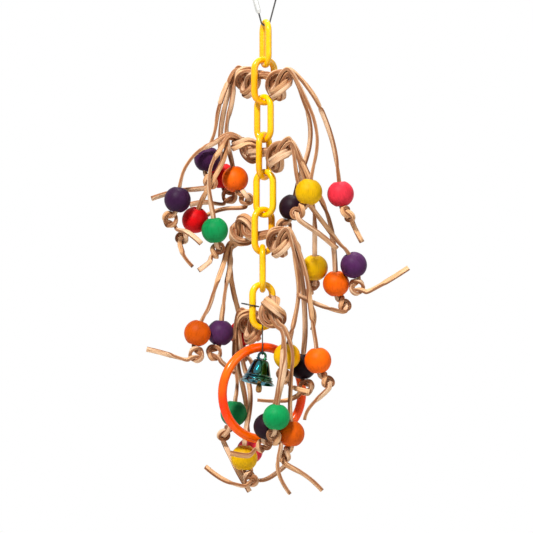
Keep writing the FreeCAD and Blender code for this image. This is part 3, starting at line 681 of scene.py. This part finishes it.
# each end: the bead's middle, its knot's roll and hand, the strand down to it and the cut tail
ends = {
    "1a": ((-44, 16, -148), 0, -1, [(-31, 18, -95), (-36, 18, -111), (-38, 17, -127)],
           [(-70, 13, -172), (-86, 11, -178)]),
    "1b": ((-33, 38, -160), 40, -1, [(-29, 28, -100), (-33, 34, -116), (-35, 37, -134)],
           [(-48, 41, -179), (-58, 40, -182)]),
    "1c": ((-23, 20, -163), 0, 1, [(-25, 22, -105), (-30, 24, -121), (-29, 25, -137)],
           [(-35, 22, -185), (-44, 24, -190)]),
    "1d": ((20, -7, -185), 240, -1, [(29, -19, -106), (34, -11, -124), (33, -7, -141), (27, -6, -158)],
           [(26, -14, -214), (24, -15, -221)]),
    "1e": ((32, -33, -174), 180, 1, [(30, -30, -105), (37, -31, -122), (39, -32, -140)],
           [(42, -30, -206), (53, -28, -216)]),
    "1f": ((56, -12, -175), 40, 1, [(36, -22, -101), (44, -16, -118), (51, -13, -138)], [(72, -12, -211)]),
    "2a": ((-66, 0, -179), 240, -1, [(-37, 3, -136), (-51, 2, -142), (-61, 1, -155)],
           [(-57, -5, -203), (-48, -6, -212)]),
    "2b": ((-53, 11, -194), 200, 1, [(-30, 4, -146), (-36, 2, -158), (-44, 3, -172)],
           [(-61, 10, -223), (-55, 8, -229)]),
    "2c": ((-38, 0, -202), 260, 1, [(-33, 1, -140), (-41, 0, -152), (-43, -1, -167), (-41, -1, -182)],
           [(-43, -4, -227), (-50, -6, -232)]),
    "2d": ((37, 8, -230), 240, 1, [(30, -17, -169), (36, -10, -183), (37, -3, -196), (37, 4, -210)],
           [(39, 8, -266), (35, 8, -277)]),
    "2e": ((53, 2, -242), 340, -1, [(33, -24, -165), (41, -19, -178), (48, -10, -194), (51, -2, -212)],
           [(34, -14, -256), (24, -22, -250)]),
    "2f": ((66, -5, -228), 140, 1, [(24, -21, -172), (34, -21, -185), (45, -15, -199), (56, -8, -213)],
           [(95, -6, -238), (107, -6, -230)]),
    "3a": ((-51, -4, -279), 40, -1, [(-31, 8, -226), (-37, 3, -242), (-42, -2, -260)],
           [(-79, -4, -293), (-89, -4, -291)]),
    "3b": ((-34, 8, -279), 120, 1, [(-26, 13, -227), (-30, 11, -244), (-32, 9, -261)], [(-23, 4, -309)]),
    "3c": ((-18, 42.5, -280), 100, 1, [(-27, 25, -230), (-25, 34, -247), (-21, 40, -262)], [(-4, 38, -313)]),
    "3d": ((16, -15, -296), 280, -1, [(24, -21, -234), (25, -18, -252), (21, -16, -272)],
           [(24, -24, -320), (33, -28, -322)]),
    "3e": ((28, 1, -304), 60, -1, [(27, -13, -235), (29, -6, -254), (30, 0, -278)],
           [(12, -5, -331), (-6, -6, -329)]),
    "3f": ((39, -19, -299), 340, -1, [(31, -24, -235), (33, -21, -256), (36, -20, -278)],
           [(30, -22, -335), (29, -22, -343)]),
    "4a": ((-24, 14, -340), 160, -1, [(-25, 21, -301), (-21, 18, -314), (-22, 15, -326)],
           [(-27, 12, -371), (-20, 15, -386), (-12, 15, -399)]),
    "4b": ((-12, 26, -369), 140, 1, [(-22, 28, -302), (-17, 29, -320), (-14, 28, -338), (-14, 26, -352)],
           [(3, 24, -391), (15, 23, -380)]),
    "4c": ((-16, 5, -373), 20, -1, [(-18, 24, -301), (-12, 23, -317), (-11, 17, -335), (-15, 8, -352)],
           [(-34, 0, -389), (-45, -2, -379)]),
    "4d": ((8, -39, -340), 280, -1, [(15, -36, -294), (13.5, -39, -308), (10.5, -39, -322)],
           [(7, -37, -382), (18, -34, -397)]),
    "4e": ((1, -20, -348), 280, 1, [(13, -26, -293), (11, -27, -314), (7, -23, -332)],
           [(-13, -18, -371), (-26, -17, -368)]),
    "4f": ((19, -27, -353), 200, 1, [(21, -29, -293), (19, -28, -309), (18, -27, -332)],
           [(33, -29, -385), (42, -30, -395)]),
}


def overhandKnot(start, along, towards, hand, size):
    first = along.normalized()
    bulge = (towards - first * towards.dot(first)).normalized()
    side = first.cross(bulge) * hand
    second = bulge * math.cos(knotLag) - side * math.sin(knotLag)
    third = bulge * math.sin(knotLag) + side * math.cos(knotLag)
    x0, y0, z0 = knotTurns[0]
    return [start + (first * (x - x0) + second * (y - y0) + third * (z - z0)) * size for x, y, z in knotTurns]


def looseEnd(name, s):
    middle, roll, hand, route, tail = ends[name]
    bead = Vector(middle)
    route = [Vector(point) for point in route]
    tail = [Vector(point) for point in tail]
    axis = ((bead - route[-1]).normalized() + Vector((0, 0, -s["plumb"]))).normalized()
    across = Vector((1, 0, 0))
    across = (across - axis * across.dot(axis)).normalized()
    turn = math.radians(roll)
    towards = across * math.cos(turn) + axis.cross(across) * math.sin(turn)
    entry = bead - axis * (s["beadLength"] / 2 + s["beadEntry"])
    knot = overhandKnot(bead + axis * (s["beadLength"] / 2 + s["beadToKnot"]), axis, towards, hand, s["smallKnot"])
    return route + [entry, bead - towards * s["sag"]] + knot + tail, bead, axis


def bundleStarts(level):
    starts = {}
    for side, sign in (("left", -1), ("right", 1)):
        along, angle, height = level[side][:3]
        angle = math.radians(angle)
        outward = Vector((math.cos(angle), math.sin(angle), 0)) * sign
        start = Vector(linkCentres[level["link"]]) + outward * along
        start.z = height
        starts[side] = (start, outward)
    return starts


def bigKnot(level, side, s):
    starts = bundleStarts(level)
    start, along = starts[side]
    other = starts["left" if side == "right" else "right"][0]
    roll, hand, growth = level[side][3:]
    roll = math.radians(roll)
    viewer = Vector((along.y, -along.x, 0)) * (1 if along.x > 0 else -1)
    towards = Vector((0, 0, 1)) * math.cos(roll) + viewer * math.sin(roll)
    return [other] + overhandKnot(start, along, towards, hand, s["bigKnot"] * growth)


def beside(points, offset):
    line = [points[0] + offset]
    for i in range(1, len(points) - 1):
        before = (points[i] - points[i - 1]).normalized()
        after = (points[i + 1] - points[i]).normalized()
        hinge = before.cross(after).normalized()
        inner = offset.dot(hinge.cross(before))
        aside = hinge * offset.dot(hinge)
        halfTurn = before.angle(after) / 2
        line.append(points[i] + aside + (after - before).normalized() * (inner / math.cos(halfTurn)))
        offset = aside + hinge.cross(after) * inner
    return line + [points[-1] + offset]


def laceRoute(level, number, s):
    starts = bundleStarts(level)
    bridge = (starts["right"][0] - starts["left"][0]).normalized()
    first = bridge.cross(Vector((0, 0, 1))).normalized()
    second = bridge.cross(first)
    angle = math.radians(level["phase"] + 120 * number)
    offset = (first * math.cos(angle) + second * math.sin(angle)) * ((s["pitch"] + s["gap"]) / math.sqrt(3))
    halves = []
    for side, order in zip(("left", "right"), level["orders"]):
        outer = looseEnd(f"{level['row']}{order[number]}", s)[0]
        halves.append((beside(bigKnot(level, side, s), offset) + outer)[1:])
    return halves[0][::-1] + halves[1]


# beads: turned balls with flat ends, a wide bore and softened rims

beadSizes = {"width": 20.0, "length": 18.2, "bore": 7.0, "soft": 0.45}
beadTones = {"2a": 0.62, "2f": 1.35, "3b": 1.15, "1c": 1.0, "3a": 0.72, "3f": 1.05, "4f": 0.85, "1e": 1.0, "4c": 0.88,
             "4d": 1.12, "4a": 0.75, "3e": 0.7}


def makeBeadModel(s):
    half = s["length"] / 2 * mm
    ball = s["width"] / 2 * mm
    deselectAll()
    bpy.ops.mesh.primitive_uv_sphere_add(segments=48, ring_count=30, radius=ball)
    item = bpy.context.object
    startEdit(item)
    for sign in (1, -1):
        bpy.ops.mesh.select_all(action="SELECT")
        bpy.ops.mesh.bisect(plane_co=(0, 0, sign * half), plane_no=(0, 0, sign), use_fill=True, clear_outer=True)
    pick(item, "faces", lambda middle, part: abs(middle.z) > half - 0.000005)
    bpy.ops.mesh.inset(thickness=math.sqrt(ball ** 2 - half ** 2) - s["bore"] / 2 * mm)
    bpy.ops.mesh.bridge_edge_loops(number_cuts=3)
    endEdit()
    turnNormalsOut(item)
    finishBevel(item, s["soft"], 3)
    smoothOver(item, 50)
    return item


beadModel = makeBeadModel(beadSizes)
beads = {}
for number, name in enumerate(ends):
    middle, axis = looseEnd(name, laceSizes)[1:]
    turn = axis.to_track_quat("Z", "Y").to_matrix().to_4x4()
    place = Matrix.Translation(middle * mm) @ turn @ Matrix.Rotation(number * 1.7, 4, "Z")
    beads[name] = placeCopy(beadModel, f"woodBead{name}", place, slotOfNode[f"bead_{name}"], number * 0.43,
                            beadTones.get(name, 0.95))
    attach(beads[name], "chain")
    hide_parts(f"bead_{name}")
discard(beadModel)
print("beads made:", len(beads))


def splinePoints(name, route):
    data = bpy.data.curves.new(name + "Route", "CURVE")
    data.dimensions = "3D"
    data.resolution_u = 10
    spline = data.splines.new("NURBS")
    spline.points.add(len(route) - 1)
    for point, place in zip(spline.points, route):
        point.co = (*(place * mm), 1)
    spline.order_u = 3
    spline.use_endpoint_u = True
    holder = bpy.data.objects.new(name + "Route", data)
    line = bpy.data.meshes.new_from_object(holder)
    points = np.array([v.co[:] for v in line.vertices], float)
    bpy.data.objects.remove(holder)
    bpy.data.curves.remove(data)
    bpy.data.meshes.remove(line)
    return points


def stripDirections(points, spread):
    # a frame carried along the line without twist, then turned so that the strip bends over its flat side
    steps = np.diff(points, axis=0)
    lengths = np.linalg.norm(steps, axis=1)
    tangents = np.vstack([steps / lengths[:, None], steps[-1:] / lengths[-1]])
    tangents[1:-1] = tangents[1:-1] + tangents[:-2]
    tangents /= np.linalg.norm(tangents, axis=1)[:, None]
    along = np.concatenate([[0], np.cumsum(lengths)])
    carried = np.zeros_like(points)
    start = np.cross(tangents[0], (0, 1, 0))
    carried[0] = start / np.linalg.norm(start)
    for i in range(1, len(points)):
        side = carried[i - 1] - tangents[i] * carried[i - 1].dot(tangents[i])
        carried[i] = side / np.linalg.norm(side)
    other = np.cross(tangents, carried)
    bend = np.zeros_like(points)
    bend[1:-1] = (tangents[2:] - tangents[:-2]) / (along[2:] - along[:-2])[:, None]
    a = (bend * carried).sum(1)
    b = (bend * other).sum(1)
    # twice the angle, so that either flat side may face inwards
    strength = np.hypot(a, b) + 1e-9
    double = np.stack([(a * a - b * b) / strength, 2 * a * b / strength], 1)
    smooth = np.zeros_like(double)
    for i in range(len(points)):
        near = np.abs(along - along[i]) < 3 * spread
        weight = np.exp(-0.5 * ((along[near] - along[i]) / spread) ** 2)
        smooth[i] = (double[near] * weight[:, None]).sum(0)
    angle = np.unwrap(np.arctan2(smooth[:, 1], smooth[:, 0])) / 2
    thin = carried * np.cos(angle)[:, None] + other * np.sin(angle)[:, None]
    return thin, np.cross(tangents, thin), along


def stripSection(wide, thick, corner, steps):
    # a rounded oblong, from the middle of its skin side round
    outline = []
    for quarter in range(4):
        cx = (wide / 2 - corner) * (1, -1, -1, 1)[quarter]
        cy = (thick / 2 - corner) * (1, 1, -1, -1)[quarter]
        for k in range(steps + 1):
            angle = math.pi / 2 * (quarter + k / steps)
            outline.append((cx + corner * math.cos(angle), cy + corner * math.sin(angle)))
    return outline[:steps + 1] + [(0, thick / 2)] + outline[steps + 1:]


def makeLace(name, route, s, seed):
    points = splinePoints(name, route)
    keep = [0]
    for i in range(1, len(points)):
        if np.linalg.norm(points[i] - points[keep[-1]]) > s["closest"] * mm:
            keep.append(i)
    points = points[keep]
    thin, broad, along = stripDirections(points, s["spread"] * mm)
    section = stripSection(s["wide"] * mm, s["thick"] * mm, s["corner"] * mm, 2)
    count = len(section)
    # the way round the section, from 0 to 1, starting at the middle of the skin side
    angles = [math.atan2(x, y) / (2 * math.pi) % 1.0 for x, y in section]
    mesh = bpy.data.meshes.new(name)
    bm = bmesh.new()
    rings = []
    for i, place in enumerate(points):
        swell = 1 + s["swell"] * noise.noise((along[i] * 90, seed * 7.3, 0))
        ring = []
        for x, y in section:
            rough = 1 + s["rough"] * noise.noise((along[i] * 420, x * 3000, y * 3000 + seed))
            ring.append(bm.verts.new(place + (broad[i] * x * swell + thin[i] * y / swell) * rough))
        rings.append(ring)
    strip = bm.loops.layers.uv.new("strip")
    for i in range(len(rings) - 1):
        for k in range(count):
            n = (k + 1) % count
            face = bm.faces.new((rings[i][k], rings[i + 1][k], rings[i + 1][n], rings[i][n]))
            face.smooth = True
            low, high = angles[k], angles[n]
            if abs(high - low) > 0.5:
                low, high = (low, high + 1) if high < low else (low + 1, high)
            for loop, (u, v) in zip(face.loops, ((i, low), (i + 1, low), (i + 1, high), (i, high))):
                loop[strip].uv = (along[u] + seed * 1.7, v)
    for ring, place in ((rings[0], 0), (rings[-1], -1)):
        cap = bm.faces.new(ring if place else ring[::-1])
        for loop in cap.loops:
            loop[strip].uv = (along[place] + seed * 1.7, 0.25)
    bmesh.ops.recalc_face_normals(bm, faces=bm.faces)
    bm.to_mesh(mesh)
    bm.free()
    mesh.materials.append(materials["lace_leather"])
    item = bpy.data.objects.new(name, mesh)
    bpy.context.collection.objects.link(item)
    return item, points, float(along[-1])


laceCount = 0
for number, level in levels.items():
    level["row"] = number
    for lane in range(3):
        laceCount += 1
        route = laceRoute(level, lane, laceSizes)
        node = f"lace_{laceCount}"
        lace, path, length = makeLace(f"leatherLace{laceCount}", route, laceSizes, laceCount)
        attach(lace, "chain")
        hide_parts(node)
print("laces laid:", laceCount)


# light, backdrop and floor: each lamp's place, width and power

lightSettings = [
    ("keyLight", (-0.55, -1.2, 1.1), 0.32, 47.0),
    ("fillLight", (1.3, -1.2, 0.3), 0.9, 9.0),
    ("topLight", (0.1, 0.3, 1.2), 0.6, 16.0),
]


lampTarget = (0, 0, -0.22)
worldSettings = {"soft": 0.15, "seen": 1.0}
floorSettings = {"size": 2.4, "level": -0.75, "dark": (0.86, 0.86, 0.86), "light": (0.90, 0.90, 0.90)}


def aimAt(item, target):
    item.rotation_euler = (Vector(target) - item.location).to_track_quat("-Z", "Y").to_euler()


for name, place, width, power in lightSettings:
    data = bpy.data.lights.new(name, "AREA")
    data.shape = "DISK"
    data.size = width
    data.energy = power
    lamp = bpy.data.objects.new(name, data)
    lamp.location = place
    bpy.context.collection.objects.link(lamp)
    aimAt(lamp, lampTarget)


def makeWorld(s):
    # white where it is seen or mirrored, and only a soft light on the object
    world = bpy.data.worlds.new("studio")
    bpy.context.scene.world = world
    world.use_nodes = True
    tree = world.node_tree
    tree.nodes.clear()
    output = tree.nodes.new("ShaderNodeOutputWorld")
    rays = addNode(tree, "ShaderNodeLightPath")
    seen = maths(tree, "MAXIMUM", rays.outputs["Is Camera Ray"], rays.outputs["Is Glossy Ray"])
    seen = maths(tree, "MAXIMUM", seen, rays.outputs["Is Transmission Ray"])
    soft = addNode(tree, "ShaderNodeBackground", {"Color": (1, 1, 1, 1), "Strength": s["soft"]})
    white = addNode(tree, "ShaderNodeBackground", {"Color": (1, 1, 1, 1), "Strength": s["seen"]})
    mix = addNode(tree, "ShaderNodeMixShader", {"Fac": seen})
    tree.links.new(soft.outputs[0], mix.inputs[1])
    tree.links.new(white.outputs[0], mix.inputs[2])
    tree.links.new(mix.outputs[0], output.inputs["Surface"])


makeWorld(worldSettings)


def makeFloor(s):
    bpy.ops.mesh.primitive_plane_add(size=s["size"], location=(0, 0, s["level"]))
    floor = bpy.context.object
    floor.name = "studioFloor"
    material, tree, shader = newMaterial("floorPaper")
    shade = addMottle(tree, 8.0)
    colour = ramp(tree, shade.outputs["Broad"], [(0.3, s["dark"]), (0.7, s["light"])])
    tree.links.new(colour, shader.inputs["Base Color"])
    shader.inputs["Roughness"].default_value = 0.9
    floor.data.materials.append(material)


makeFloor(floorSettings)

bpy.context.scene.view_settings.view_transform = "Standard"
print("scene ready")
